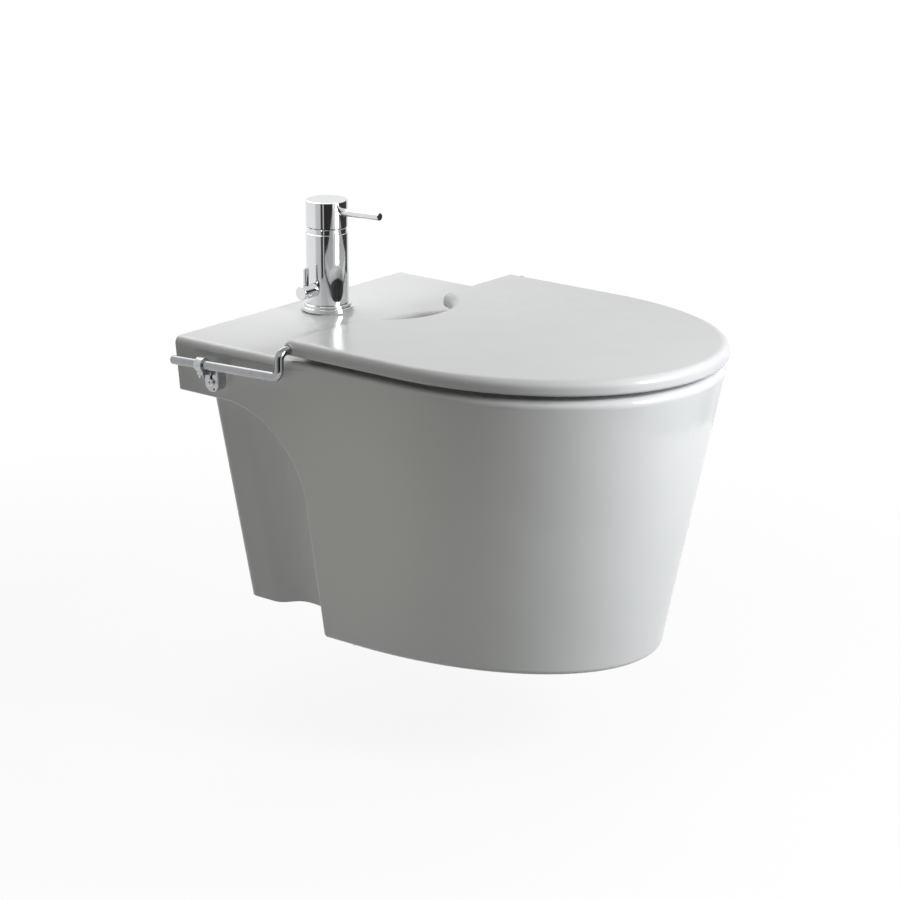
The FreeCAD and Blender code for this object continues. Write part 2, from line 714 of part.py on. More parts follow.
def make_bracket_screw():
    face = PLATE_X + SCREW_HEAD_H
    head = rod_x(SCREW_HEAD_R, PLATE_X, face, -PLATE_Y, -SCREW_Z)
    head = head.makeFillet(SCREW_HEAD_ROUND, edges_where(head, lambda b: b.XMin > face - NEAR))
    shank = rod_x(SCREW_R, TOP_HALF - SCREW_IN, PLATE_X + PAST, -PLATE_Y, -SCREW_Z)
    screw = head.fuse(shank).removeSplitter()
    for half_y, half_z in ((CROSS_LONG, CROSS_WIDE), (CROSS_WIDE, CROSS_LONG)):
        screw = screw.cut(block(face - CROSS_DEEP, face + PAST, -PLATE_Y - half_y, -PLATE_Y + half_y,
                                -SCREW_Z - half_z, -SCREW_Z + half_z))
    return screw


def make_anchor():
    """Plastic anchor for the bracket screw, set flush with the sloping side."""
    anchor = rod_x(ANCHOR_R, TOP_HALF - ANCHOR_IN, TOP_HALF, -PLATE_Y, -SCREW_Z)
    anchor = anchor.cut(rod_x(SCREW_R, TOP_HALF - SCREW_IN, TOP_HALF + PAST, -PLATE_Y, -SCREW_Z))
    return anchor.common(skirt(0, 0, 0, -BODY_H))


def make_sleeve(x):
    """Flanged plastic sleeve for one wall bolt."""
    sleeve = rod_y(SLEEVE_R, -REAR_WALL, 0, x, -RIM)
    flange = rod_y(SLEEVE_FLANGE, -REAR_WALL - SLEEVE_RIM, -REAR_WALL, x, -RIM)
    bore = rod_y(STUD_R, -REAR_WALL - SLEEVE_RIM - PAST, PAST, x, -RIM)
    return sleeve.fuse(flange).removeSplitter().cut(bore)


def tap_rod(radius, z0, z1):
    return rod_z(radius, 0, -TAP_Y, z0, z1)


def tap_ring(inner, outer, z0, z1):
    return tap_rod(outer, z0, z1).cut(tap_rod(inner, z0 - PAST, z1 + PAST))


def make_base_ring():
    lower = tap_rod(RING_R, GASKET_T, RING_TOP)
    lower = lower.makeFillet(RING_ROUND, edges_where(lower, lambda b: b.ZMin > RIM + RING_TOP - NEAR))
    upper = tap_rod(BASE_R, GASKET_T, BASE_TOP)
    upper = upper.makeFillet(BASE_ROUND, edges_where(upper, lambda b: b.ZMin > RIM + BASE_TOP - NEAR))
    return lower.fuse(upper).removeSplitter().cut(tap_rod(SHANK_R + SHANK_PLAY, 0, BASE_TOP + PAST))


def make_tap_body():
    body = tap_rod(TAP_R, BASE_TOP, TAP_TOP)
    body = body.makeChamfer(EDGE, edges_where(body, lambda b: b.ZMax - b.ZMin < NEAR))
    body = body.cut(tap_rod(SHANK_R, BASE_TOP - PAST, SHANK_TOP))
    body = body.cut(tap_rod(BODY_BORE, SHANK_TOP - PAST, CARTRIDGE_Z + PAST))
    body = body.cut(tap_rod(CHAMBER_R, CARTRIDGE_Z, TAP_TOP + PAST))
    return body.cut(rod_x(GLAND_R, -TAP_R - PAST, GLAND_R - BODY_BORE, -TAP_Y, KNOB_Z))


def make_gland():
    """Threaded gland that carries the waste spindle in the side of the tap."""
    gland = rod_x(GLAND_R, -GLAND_OUT, -GLAND_IN, -TAP_Y, KNOB_Z)
    gland = gland.cut(tap_rod(BODY_BORE, SHANK_TOP, CARTRIDGE_Z))
    return gland.cut(rod_x(SPINDLE_R + RUN, -KNOB_X, 0, -TAP_Y, KNOB_Z))


def make_waste_lever():
    """Round knob and pin that turn about a level axis on the side of the tap."""
    knob = rod_x(KNOB_R, -KNOB_END, -KNOB_FACE, -TAP_Y, KNOB_Z)
    knob = knob.makeFillet(KNOB_ROUND, edges_where(knob, lambda b: b.XMax < -KNOB_END + NEAR))
    pin = rod_z(PIN_R, -KNOB_X, -TAP_Y, KNOB_Z, PIN_TOP)
    pin = pin.makeChamfer(PIN_EDGE, edges_where(pin, lambda b: b.ZMin > RIM + PIN_TOP - NEAR))
    return knob.fuse(pin).removeSplitter().cut(rod_x(SPINDLE_R, -SPINDLE_OUT, 0, -TAP_Y, KNOB_Z))


def make_spindle():
    """Spindle of the waste lever with the crank that works the lift rod."""
    side = SPINDLE_IN - CRANK_T
    spindle = rod_x(SPINDLE_R, -SPINDLE_OUT, SPINDLE_IN, -TAP_Y, KNOB_Z)
    hub = rod_x(HUB_R, side, SPINDLE_IN, -TAP_Y, KNOB_Z)
    arm = block(side, SPINDLE_IN, -TAP_Y - CRANK, -TAP_Y, KNOB_Z - ARM_HALF, KNOB_Z + ARM_HALF)
    arm = arm.fuse(rod_x(ARM_END_R, side, SPINDLE_IN, -TAP_Y - CRANK, KNOB_Z))
    arm.rotate(vec(0, -TAP_Y, KNOB_Z), X_AXIS, -CRANK_REST)
    peg = rod_x(PEG_R, -PEG_END, PEG_END, CRANK_Y, CRANK_Z)
    return spindle.fuse([hub, arm, peg]).removeSplitter()


def make_lift_rod():
    """Rod with a slotted eye at the crank and a strap at the pivot rod."""
    y, z = CRANK_Y, CRANK_Z
    foot_z = BALL_Z + (y - BALL_Y) * PIVOT_SLOPE
    rod = rod_z(LIFT_R, 0, y, foot_z + STRAP_HOLD, z - EYE_REAR)
    eye = block(-EYE_HALF, EYE_HALF, y - EYE_FRONT, y + EYE_REAR, z - EYE_LOW, z + EYE_REAR)
    slot = block(-STRAP_X, STRAP_X, y - SLOT_FRONT, y + SLOT_REAR, z - SLOT_HALF, z + SLOT_HALF)
    strap = block(-STRAP_X, STRAP_X, y - STRAP_Y, y + STRAP_Y, foot_z - STRAP_Z, foot_z + STRAP_Z)
    hole = rod_y(PIVOT_R + PIVOT_PLAY, y - STRAP_Y - PAST, y + STRAP_Y + PAST, 0, foot_z)
    return rod.fuse([eye, strap]).removeSplitter().cut(slot).cut(hole)


def make_cartridge():
    body = tap_rod(CARTRIDGE_R, CARTRIDGE_Z, CARTRIDGE_TOP)
    return body.cut(tap_rod(TURRET_R, TURRET_Z, CARTRIDGE_TOP + PAST))


def make_carrier():
    """Turret in the cartridge: it swivels and carries the tilt pin."""
    turret = tap_rod(TURRET_R - RUN, TURRET_Z, TURRET_TOP)
    slot = block(-TURRET_SLOT_HALF, TURRET_SLOT_HALF, -TAP_Y - TURRET_SLOT_FRONT,
                 -TAP_Y + TURRET_SLOT_REAR, TURRET_SLOT_Z, TURRET_TOP + PAST)
    return turret.cut(slot).cut(rod_x(TILT_PIN_R, -TURRET_R, TURRET_R, -TAP_Y, TILT_Z))


def make_tilt_pin():
    return rod_x(TILT_PIN_R, -TILT_PIN_HALF, TILT_PIN_HALF, -TAP_Y, TILT_Z)


def stem_block(z0, z1):
    return block(-STEM_HALF, STEM_HALF, -TAP_Y - STEM_HALF, -TAP_Y + STEM_HALF, z0, z1)


def make_stem():
    """Square stem between the tilt pin and the cap."""
    bar = stem_block(TILT_Z, STEM_TOP)
    bar = bar.fuse(rod_x(STEM_HALF, -STEM_HALF, STEM_HALF, -TAP_Y, TILT_Z)).removeSplitter()
    return bar.cut(rod_x(TILT_PIN_R + RUN, -STEM_HALF - PAST, STEM_HALF + PAST, -TAP_Y, TILT_Z))


def make_bezel():
    """Ring nut that holds the cartridge down."""
    flange = tap_rod(BEZEL_R, TAP_TOP, BEZEL_TOP)
    flange = flange.makeChamfer(EDGE, edges_where(flange, lambda b: b.ZMin > RIM + BEZEL_TOP - NEAR))
    thread = tap_rod(CHAMBER_R, CARTRIDGE_TOP, TAP_TOP + PAST)
    bore = tap_rod(BEZEL_BORE, CARTRIDGE_TOP - PAST, BEZEL_TOP + PAST)
    return flange.fuse(thread).removeSplitter().cut(bore)


def lever_bar(radius, start, end):
    """Round bar on the lever's axis, from one distance to another from the tap's axis."""
    rise = math.radians(LEVER_RISE)
    way = FreeCAD.Vector(0, -math.cos(rise), math.sin(rise))
    return Part.makeCylinder(radius, end - start, vec(0, -TAP_Y, LEVER_Z) + way * start, way)


def make_cap():
    low = BEZEL_TOP + CAP_GAP
    cap = tap_rod(CAP_R, low, CAP_TOP)
    cap = cap.makeFillet(CAP_ROUND, edges_where(cap, lambda b: b.ZMin > RIM + CAP_TOP - NEAR))
    cap = cap.cut(tap_ring(CAP_BOSS, CAP_R - CAP_WALL, low - PAST, CAP_ROOF))
    cap = cap.cut(tap_rod(CAP_BOSS + PAST, low - PAST, CAP_BOSS_Z))
    cap = cap.cut(stem_block(low - PAST, STEM_TOP))
    cap = cap.cut(rod_y(CAP_SCREW_R, -TAP_Y + STEM_HALF - NEAR, -TAP_Y + CAP_SCREW_HOLE, 0, CAP_SCREW_Z))
    return cap.cut(lever_bar(LEVER_R, LEVER_ROOT, CAP_SCREW_HOLE))


def make_lever():
    bar = lever_bar(LEVER_R, LEVER_ROOT, LEVER_REACH)
    tip = edges_where(bar, lambda b: b.YMax < -TAP_Y - LEVER_REACH + LEVER_R)
    return bar.makeChamfer(EDGE, tip)


def make_cap_screw():
    face = -TAP_Y + CAP_SCREW_END
    screw = rod_y(CAP_SCREW_R, -TAP_Y + STEM_HALF, face, 0, CAP_SCREW_Z)
    key = block(-CAP_KEY, CAP_KEY, face - CAP_KEY_DEEP, face + PAST,
                CAP_SCREW_Z - CAP_KEY, CAP_SCREW_Z + CAP_KEY)
    return screw.cut(key)


def make_shank():
    tube = tap_ring(SHANK_R - SHANK_WALL, SHANK_R, -SHANK_LOW, SHANK_TOP)
    start, run = channel_run()
    return tube.cut(Part.makeCylinder(PORT_R, PORT_L, start, run))


def make_manifold():
    """End plug of the shank with the two inlet sockets and the rod hole."""
    plug = tap_rod(SHANK_R - SHANK_WALL, -SHANK_LOW, -MANIFOLD_TOP)
    for x in (-INLET_X, INLET_X):
        plug = plug.cut(rod_z(INLET_R, x, -TAP_Y + INLET_BACK, -SHANK_LOW - PAST, -INLET_TOP))
        plug = plug.cut(rod_z(TUBE_R, x, -TAP_Y + INLET_BACK, -INLET_TOP - PAST, -MANIFOLD_TOP + PAST))
    return plug.cut(rod_z(LIFT_R + RUN, 0, CRANK_Y, -SHANK_LOW - PAST, -MANIFOLD_TOP + PAST))


def make_inlet_tube(x):
    y = -TAP_Y + INLET_BACK
    tube = rod_z(TUBE_R, x, y, -INLET_TOP, CARTRIDGE_Z)
    return tube.cut(rod_z(TUBE_BORE, x, y, -INLET_TOP - PAST, CARTRIDGE_Z + PAST))


def make_nut():
    top = -DECK - WASHER_T
    nut = hexagon_z(NUT_ACROSS, 0, -TAP_Y, top - NUT_H, top)
    return nut.cut(tap_rod(SHANK_R, top - NUT_H - PAST, top + PAST))


def drain_rod(radius, z0, z1):
    return rod_z(radius, 0, -DRAIN_Y, z0, z1)


def drain_ring(inner, outer, z0, z1):
    return drain_rod(outer, z0, z1).cut(drain_rod(inner, z0 - PAST, z1 + PAST))


def make_flange():
    """Drain flange with its threaded tube."""
    low = -DRAIN_LOW - THREAD_L
    top = SEAT_Z + FLANGE_T
    rim = drain_rod(FLANGE_R, SEAT_Z, top)
    rim = rim.makeFillet(FLANGE_ROUND, edges_where(rim, lambda b: b.ZMin > RIM + top - NEAR))
    body = rim.fuse(drain_rod(THREAD_R, low, SEAT_Z + PAST)).removeSplitter()
    body = body.cut(drain_rod(BORE_R, low - PAST, top + PAST))
    cone = Part.makeCone(BORE_R, CONE_R, CONE_H, vec(0, -DRAIN_Y, top - CONE_H), Z_AXIS)
    return body.cut(cone)


def make_plug():
    """Pop-up plug with an eye for the pivot rod."""
    foot = vec(0, -DRAIN_Y, SEAT_Z - PLUG_SINK)
    top = SEAT_Z + PLUG_TOP
    disc = Part.makeCone(PLUG_FOOT, PLUG_R, PLUG_CONE, foot, Z_AXIS)
    dome = drain_rod(PLUG_R, SEAT_Z + PLUG_LOW, top)
    dome = dome.makeFillet(PLUG_ROUND, edges_where(dome, lambda b: b.ZMin > RIM + top - NEAR))
    eye_z = BALL_Z - BALL_BACK * PIVOT_SLOPE
    reach = 2 * PLUG_EYE
    stem = drain_rod(PLUG_STEM, eye_z - PIVOT_PLAY, SEAT_Z)
    eye = rod_y(PLUG_EYE, -DRAIN_Y - PLUG_STEM, -DRAIN_Y + PLUG_STEM, 0, eye_z)
    fins = block(-BORE_R, BORE_R, -DRAIN_Y - FIN_HALF, -DRAIN_Y + FIN_HALF,
                 -DRAIN_LOW - FIN_LOW, SEAT_Z - FIN_GAP)
    fins = fins.common(drain_rod(BORE_R - RUN, -DRAIN_LOW - FIN_LOW - PAST, SEAT_Z))
    plug = disc.fuse([dome, stem, eye, fins]).removeSplitter()
    return plug.cut(rod_y(PIVOT_R + PIVOT_PLAY, -DRAIN_Y - reach, -DRAIN_Y + reach, 0, eye_z))


def make_waste_body():
    """Tail of the waste with a rear snout for the pivot rod."""
    base = -DRAIN_LOW
    body = drain_rod(SOCKET_R, base - SOCKET_LOW, base - SOCKET_TOP)
    body = body.fuse([drain_rod(BARREL_R, base - BARREL_LOW, base - SOCKET_LOW + PAST),
                      drain_rod(TAIL_R, base - TAIL_LOW, base - BARREL_LOW + PAST)])
    body = body.fuse(rod_y(SNOUT_R, -DRAIN_Y, BALL_Y - SNOUT_BACK, 0, BALL_Z)).removeSplitter()
    body = body.cut(drain_rod(THREAD_R, base - THREAD_L, base))
    body = body.cut(drain_rod(BORE_R, base - BARREL_LOW + BARREL_FLOOR, base))
    body = body.cut(drain_rod(TAIL_R - TAIL_WALL, base - TAIL_LOW - PAST, base - BARREL_LOW + SNOUT_BACK))
    return body.cut(rod_y(SNOUT_BORE, -DRAIN_Y, BALL_Y, 0, BALL_Z))


def make_pivot_rod():
    """Rod through the ball that lifts the plug."""
    rod = rod_y(PIVOT_R, -DRAIN_Y - PIVOT_FRONT, CRANK_Y + PIVOT_REAR, 0, BALL_Z)
    ball = Part.makeSphere(BALL_R, vec(0, BALL_Y, BALL_Z))
    ball = ball.common(rod_x(BALL_BELT, -BALL_R, BALL_R, BALL_Y, BALL_Z))
    rod = rod.fuse(ball).removeSplitter()
    rod.rotate(vec(0, BALL_Y, BALL_Z), X_AXIS, math.degrees(math.atan(PIVOT_SLOPE)))
    return rod


def make_ball_nut():
    """Cap nut that holds the ball against the snout."""
    front = BALL_Y - BALL_NUT_FRONT
    rear = BALL_Y + BALL_NUT_REAR
    nut = rod_y(BALL_NUT_R, front, rear, 0, BALL_Z)
    nut = nut.cut(rod_y(SNOUT_R, front - PAST, BALL_Y - SNOUT_BACK, 0, BALL_Z))
    nut = nut.cut(rod_y(BALL_R + RUN, BALL_Y - SNOUT_BACK - PAST, BALL_Y, 0, BALL_Z))
    nut = nut.cut(Part.makeSphere(BALL_R + RUN, vec(0, BALL_Y, BALL_Z)))
    return nut.cut(rod_y(BALL_NUT_HOLE, BALL_Y, rear + PAST, 0, BALL_Z))


def make_back_nut():
    top = -DRAIN_LOW - WASTE_WASHER_T
    nut = hexagon_z(BACK_NUT_ACROSS, 0, -DRAIN_Y, top - BACK_NUT_H, top)
    return nut.cut(drain_rod(THREAD_R, top - BACK_NUT_H - PAST, top + PAST))


def save(name, shape):
    """Write one piece as a single solid."""
    solid = shape.Solids[0]
    solid.exportStep("parts/" + name + ".step")


def main():
    os.makedirs("parts", exist_ok=True)
    save("ceramic_body", make_ceramic())
    save("lid", make_lid())
    names = ("rear_left", "rear_right", "front_left", "front_right")
    for name, (x, y) in zip(names, BUFFERS):
        save("lid_buffer_" + name, make_buffer(x, y))
    pairs = {
        "lid_bush": make_bush(), "hinge_rod": make_hinge_rod(), "hinge_collar": make_collar(),
        "clamp_screw": make_clamp_screw(), "hinge_bracket": make_bracket(),
        "bracket_screw": make_bracket_screw(), "bracket_anchor": make_anchor(),
        "wall_sleeve": make_sleeve(BOLT_X),
    }
    for name, shape in pairs.items():
        save(name + "_right", shape)
        save(name + "_left", mirrored(shape))
    save("tap_gasket", tap_ring(SHANK_R + SHANK_PLAY, GASKET_R, 0, GASKET_T))
    save("tap_base_ring", make_base_ring())
    save("tap_body", make_tap_body())
    save("tap_cartridge", make_cartridge())
    save("tap_bezel_ring", make_bezel())
    save("cartridge_carrier", make_carrier())
    save("tilt_pin", make_tilt_pin())
    save("lever_stem", make_stem())
    save("tap_cap", make_cap())
    save("tap_lever", make_lever())
    save("cap_screw", make_cap_screw())
    save("waste_gland", make_gland())
    save("waste_lever", make_waste_lever())
    save("waste_spindle", make_spindle())
    save("lift_rod", make_lift_rod())
    save("tap_shank", make_shank())
    save("inlet_manifold", make_manifold())
    save("inlet_tube_left", make_inlet_tube(-INLET_X))
    save("inlet_tube_right", make_inlet_tube(INLET_X))
    save("clamp_washer", tap_ring(SHANK_R + WASHER_PLAY, WASHER_R, -DECK - WASHER_T, -DECK))
    save("fixing_nut", make_nut())
    save("waste_seal", drain_ring(DRAIN_R - SEAL_IN, SEAL_R, -DRAIN_SEAT, SEAT_Z))
    save("waste_flange", make_flange())
    save("waste_plug", make_plug())
    save("waste_washer", drain_ring(THREAD_R + WASTE_WASHER_PLAY, WASTE_WASHER_R,
                                    -DRAIN_LOW - WASTE_WASHER_T, -DRAIN_LOW))
    save("waste_back_nut", make_back_nut())
    save("waste_body", make_waste_body())
    save("pivot_rod", make_pivot_rod())
    save("ball_nut", make_ball_nut())


main()
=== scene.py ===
import json
import math

import bpy
from mathutils import Matrix, Vector


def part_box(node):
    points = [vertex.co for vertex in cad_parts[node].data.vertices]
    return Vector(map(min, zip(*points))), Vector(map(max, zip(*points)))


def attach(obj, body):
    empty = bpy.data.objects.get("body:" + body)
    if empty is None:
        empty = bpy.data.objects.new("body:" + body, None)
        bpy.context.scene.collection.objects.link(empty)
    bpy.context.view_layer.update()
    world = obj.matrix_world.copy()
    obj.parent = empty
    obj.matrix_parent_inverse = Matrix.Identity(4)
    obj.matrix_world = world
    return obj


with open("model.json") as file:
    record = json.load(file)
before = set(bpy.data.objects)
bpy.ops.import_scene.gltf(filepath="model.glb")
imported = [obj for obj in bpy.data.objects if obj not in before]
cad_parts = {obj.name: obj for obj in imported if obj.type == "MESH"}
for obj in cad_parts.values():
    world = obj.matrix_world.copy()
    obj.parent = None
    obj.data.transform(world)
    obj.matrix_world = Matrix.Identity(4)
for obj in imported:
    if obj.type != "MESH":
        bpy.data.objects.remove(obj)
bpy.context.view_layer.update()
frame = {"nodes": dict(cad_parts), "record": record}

# Lengths are in metres, angles in degrees and lamp powers in watts, if not said otherwise.

# View of the photograph
CAMERA_AZIMUTH = -50.97
CAMERA_ELEVATION = 16.94
CAMERA_DISTANCE = 3.059
CAMERA_TARGET = (0.0, -0.2105, -0.0267)
CAMERA_REACH = 50.0
LENS_MM = 120.0
SENSOR_MM = 36.0

# Floor: a disc, with the tones that the camera sees and those that light the object from below.
# Between two radii its share of plain white grows, so that it runs out into the background.
FLOOR_Z = -0.305
FLOOR_R = 1.0
FLOOR_SIDES = 96
FLOOR_SEEN = ((0.87, 0.87, 0.87), (0.90, 0.90, 0.90))
FLOOR_BOUNCE = ((0.19, 0.20, 0.19), (0.21, 0.22, 0.21))
FLOOR_FADE_R = (0.5, 0.95)
FLOOR_WHITE = (0.90, 1.0)

# Ambient light: colour, and level over the height (-1 to 1) of the direction it comes from
AMBIENT_COLOUR = (1.0, 1.0, 0.955, 1.0)
AMBIENT_LEVEL = (0.015, 0.69)
AMBIENT_HEIGHT = (0.60, 1.0)

# Area lamps. The fill and rear lamps don't show in reflections.
LAMPS = {
    "key": dict(power=11.9, size=0.42, colour=(0.965, 0.982, 1.0),
                place=(0.165, -1.368, 0.479), target=(0.0, -0.40, -0.02)),
    "top": dict(power=1.02, size=0.45, colour=(0.97, 0.985, 1.0),
                place=(0.04, 0.16, 0.45), target=(0.02, -0.07, 0.095)),
    "fill": dict(power=0.125, size=0.4, colour=(1.0, 1.0, 0.90), spread=85.0, in_gloss=False,
                 place=(-0.70, -0.24, -0.02), target=(-0.17, -0.22, -0.05)),
    "rear": dict(power=12.0, size=0.8, colour=(0.98, 0.99, 1.0), in_gloss=False,
                 place=(1.25, 0.90, 0.22), target=(0.0, -0.15, -0.05)),
}

# Studio that only reflections see: the walls' level over the angle to the right of the camera,
# the heights at which the walls turn into a white ceiling, and a share over the height
STUDIO_WALLS = (
    (-180, 0.95), (-69, 0.90), (-57, 0.60), (-34, 0.56), (-30, 0.04), (-21, 0.04),
    (-18.5, 0.62), (-16, 0.60), (-13.5, 0.03), (33, 0.03), (36, 1.0), (68, 1.0),
    (74, 0.04), (132, 0.05), (146, 0.85), (180, 0.95),
)
STUDIO_CEILING = (0.30, 0.60)
STUDIO_SHARE = (
    (-1.0, 0.12), (-0.6, 0.2), (-0.42, 0.75), (-0.25, 1.0), (0.7, 1.0), (0.9, 0.75), (1.0, 0.45),
)

# Thread on the tap's shank: the profile is (outwards, along) from the shank's surface
THREAD_PITCH = 0.002
THREAD_STEPS = 48
THREAD_END = 0.0015
THREAD_FADED = 0.1
THREAD_PROFILE = ((-0.00015, -0.0008), (0.0003, -0.0002), (0.0003, 0.0002), (-0.00015, 0.0008))

# Ribs on the ball nut: the taper is (distance from the end, radius), both in rib radii
RIBS = 18
RIB_R = 0.001
RIB_SINK = 0.00025
RIB_END = 0.002
RIB_SIDES = 10
RIB_TAPER = ((0.0, 0.15), (0.3, 0.7), (1.0, 1.0))

SHARP_ANGLE = 35.0

# Ranges of a texture's values that are spread over two tones or two levels
FULL = (0.0, 1.0)
MIDDLE = (0.3, 0.7)
CENTRE = (0.35, 0.65)


class Tree:
    """Shorthand for the node tree of a material or a world."""

    def __init__(self, owner):
        owner.use_nodes = True
        self.tree = owner.node_tree

    def add(self, kind, **settings):
        node = self.tree.nodes.new(kind)
        for key, value in settings.items():
            setattr(node, key, value)
        return node

    def link(self, source, target):
        self.tree.links.new(source, target)

    def math(self, operation, first, second):
        node = self.add("ShaderNodeMath", operation=operation)
        for socket, value in zip(node.inputs, (first, second)):
            if isinstance(value, float):
                socket.default_value = value
            else:
                self.link(value, socket)
        return node.outputs["Value"]

    def spread(self, source, span, result):
        node = self.add("ShaderNodeMapRange")
        node.inputs["From Min"].default_value, node.inputs["From Max"].default_value = span
        node.inputs["To Min"].default_value, node.inputs["To Max"].default_value = result
        self.link(source, node.inputs["Value"])
        return node.outputs["Result"]

    def ramp(self, source, stops):
        node = self.add("ShaderNodeValToRGB")
        elements = node.color_ramp.elements
        while len(elements) < len(stops):
            elements.new(0.5)
        for element, (place, colour) in zip(elements, stops):
            element.position = place
            element.color = (*colour, 1.0)
        self.link(source, node.inputs["Fac"])
        return node.outputs["Color"]

    def seen(self, path):
        """1 where the camera looks, directly, in a reflection or through glass."""
        direct = self.math("MAXIMUM", path.outputs["Is Camera Ray"], path.outputs["Is Glossy Ray"])
        return self.math("MAXIMUM", direct, path.outputs["Is Transmission Ray"])

    def mix(self, factor, low, high, output):
        node = self.add("ShaderNodeMixShader")
        for socket, source in zip(node.inputs, (factor, low, high)):
            self.link(source, socket)
        self.link(node.outputs["Shader"], output.inputs["Surface"])


class Material(Tree):
    """Material whose shader is fed by procedural textures in the object's own space."""

    def __init__(self, name, **constants):
        self.material = bpy.data.materials.new(name)
        super().__init__(self.material)
        self.shader = self.tree.nodes["Principled BSDF"]
        self.point = self.add("ShaderNodeTexCoord").outputs["Object"]
        for key, value in constants.items():
            self.shader.inputs[key].default_value = value

    def noise(self, scale, detail=2.0, rough=0.5, stretch=None):
        point = self.point
        if stretch:
            mapping = self.add("ShaderNodeMapping")
            mapping.inputs["Scale"].default_value = stretch
            self.link(point, mapping.inputs["Vector"])
            point = mapping.outputs["Vector"]
        node = self.add("ShaderNodeTexNoise")
        node.inputs["Scale"].default_value = scale
        node.inputs["Detail"].default_value = detail
        node.inputs["Roughness"].default_value = rough
        self.link(point, node.inputs["Vector"])
        return node.outputs["Fac"]

    def cells(self, scale):
        node = self.add("ShaderNodeTexVoronoi")
        node.inputs["Scale"].default_value = scale
        self.link(self.point, node.inputs["Vector"])
        return node.outputs["Distance"]

    def tone(self, source, low, high, span=MIDDLE):
        return self.ramp(source, ((span[0], low), (span[1], high)))

    def blend(self, factor, low, high):
        node = self.add("ShaderNodeMix", data_type="RGBA")
        self.link(factor, node.inputs["Factor"])
        self.link(low, node.inputs["A"])
        self.link(high, node.inputs["B"])
        return node.outputs["Result"]

    def bump(self, height, depth, strength=1.0, under=None):
        node = self.add("ShaderNodeBump")
        node.inputs["Distance"].default_value = depth
        node.inputs["Strength"].default_value = strength
        self.link(height, node.inputs["Height"])
        if under:
            self.link(under, node.inputs["Normal"])
        return node.outputs["Normal"]

    def colour(self, source):
        self.link(source, self.shader.inputs["Base Color"])

    def roughness(self, source):
        self.link(source, self.shader.inputs["Roughness"])

    def normal(self, source):
        self.link(source, self.shader.inputs["Normal"])


def glazed_ceramic():
    """White glaze with a slow wave and faint specks, bare clay on the wall face."""
    n = Material("glazed_ceramic", IOR=1.52)
    white = n.tone(n.noise(scale=7.0, detail=4.0, rough=0.6),
                   low=(0.838, 0.844, 0.846), high=(0.860, 0.865, 0.868))
    speck = n.tone(n.noise(scale=3.0), low=(0.52, 0.47, 0.38), high=(0.60, 0.56, 0.48), span=FULL)
    dot = n.spread(n.cells(scale=95.0), span=(0.035, 0.06), result=(0.12, 0.0))
    clay = n.tone(n.noise(scale=260.0, detail=5.0, rough=0.7),
                  low=(0.70, 0.67, 0.60), high=(0.80, 0.77, 0.71))
    axes = n.add("ShaderNodeSeparateXYZ")
    n.link(n.point, axes.inputs["Vector"])
    bare = n.spread(axes.outputs["Y"], span=(-0.0012, -0.0002), result=FULL)
    n.colour(n.blend(bare, n.blend(dot, white, speck), clay))
    gloss = n.spread(n.noise(scale=18.0, detail=3.0), span=CENTRE, result=(0.06, 0.11))
    n.roughness(n.math("ADD", gloss, n.math("MULTIPLY", bare, 0.65)))
    wave = n.bump(n.noise(scale=11.0, detail=1.0), depth=0.0011)
    peel = n.bump(n.noise(scale=170.0, detail=2.0), depth=0.00006, strength=0.6, under=wave)
    grit = n.math("MULTIPLY", n.noise(scale=900.0, detail=4.0), bare)
    n.normal(n.bump(grit, depth=0.0004, strength=0.5, under=peel))
    return n.material


def gloss_plastic():
    """Moulded white cover with a fine skin and a very slow wave."""
    n = Material("gloss_plastic", IOR=1.49)
    n.colour(n.tone(n.noise(scale=5.0, detail=3.0, rough=0.6),
                    low=(0.758, 0.762, 0.770), high=(0.784, 0.788, 0.796)))
    n.roughness(n.spread(n.noise(scale=26.0, detail=4.0, rough=0.6), span=CENTRE, result=(0.17, 0.25)))
    wave = n.bump(n.noise(scale=5.0, detail=1.0), depth=0.0009)
    n.normal(n.bump(n.noise(scale=900.0, detail=2.0), depth=0.00002, strength=0.5, under=wave))
    return n.material


def chrome():
    """Bright plating with faint wipe marks."""
    n = Material("chrome", Metallic=1.0)
    n.colour(n.tone(n.noise(scale=30.0, detail=3.0),
                    low=(0.765, 0.775, 0.785), high=(0.825, 0.830, 0.835)))
    marks = n.noise(scale=55.0, detail=5.0, rough=0.65, stretch=(1.0, 1.0, 0.35))
    n.roughness(n.spread(marks, span=(0.4, 0.75), result=(0.035, 0.11)))
    n.normal(n.bump(n.noise(scale=60.0, detail=1.0), depth=0.00004))
    return n.material


def bar_plating_and_painted_shade():
    """Plated round bar with fine lines along its length, much greyer than the tap: partly a greyer metal,
    partly painted shade for the dark surroundings it reflects.
    """
    n = Material("bar_plating_and_painted_shade", Metallic=1.0)
    # Painted shade: the bar's tone is set far below the tap's chrome and stands in for the dark
    # surroundings it reflects.
    n.colour(n.tone(n.noise(scale=60.0, detail=4.0, rough=0.65),
                    low=(0.28, 0.292, 0.296), high=(0.36, 0.368, 0.372)))
    lines = n.noise(scale=420.0, detail=3.0, rough=0.6, stretch=(1.0, 0.03, 1.0))
    n.roughness(n.spread(lines, span=MIDDLE, result=(0.08, 0.15)))
    n.normal(n.bump(lines, depth=0.00002, strength=0.4))
    return n.material


def brushed(name, low, high, rough, stretch, grain):
    """Worked metal with a fine grain along one direction."""
    n = Material(name, Metallic=1.0)
    n.colour(n.tone(n.noise(scale=45.0, detail=4.0, rough=0.65), low, high))
    lines = n.noise(scale=grain, detail=4.0, rough=0.7, stretch=stretch)
    n.roughness(n.spread(lines, span=MIDDLE, result=rough))
    n.normal(n.bump(lines, depth=0.00005, strength=0.6))
    return n.material


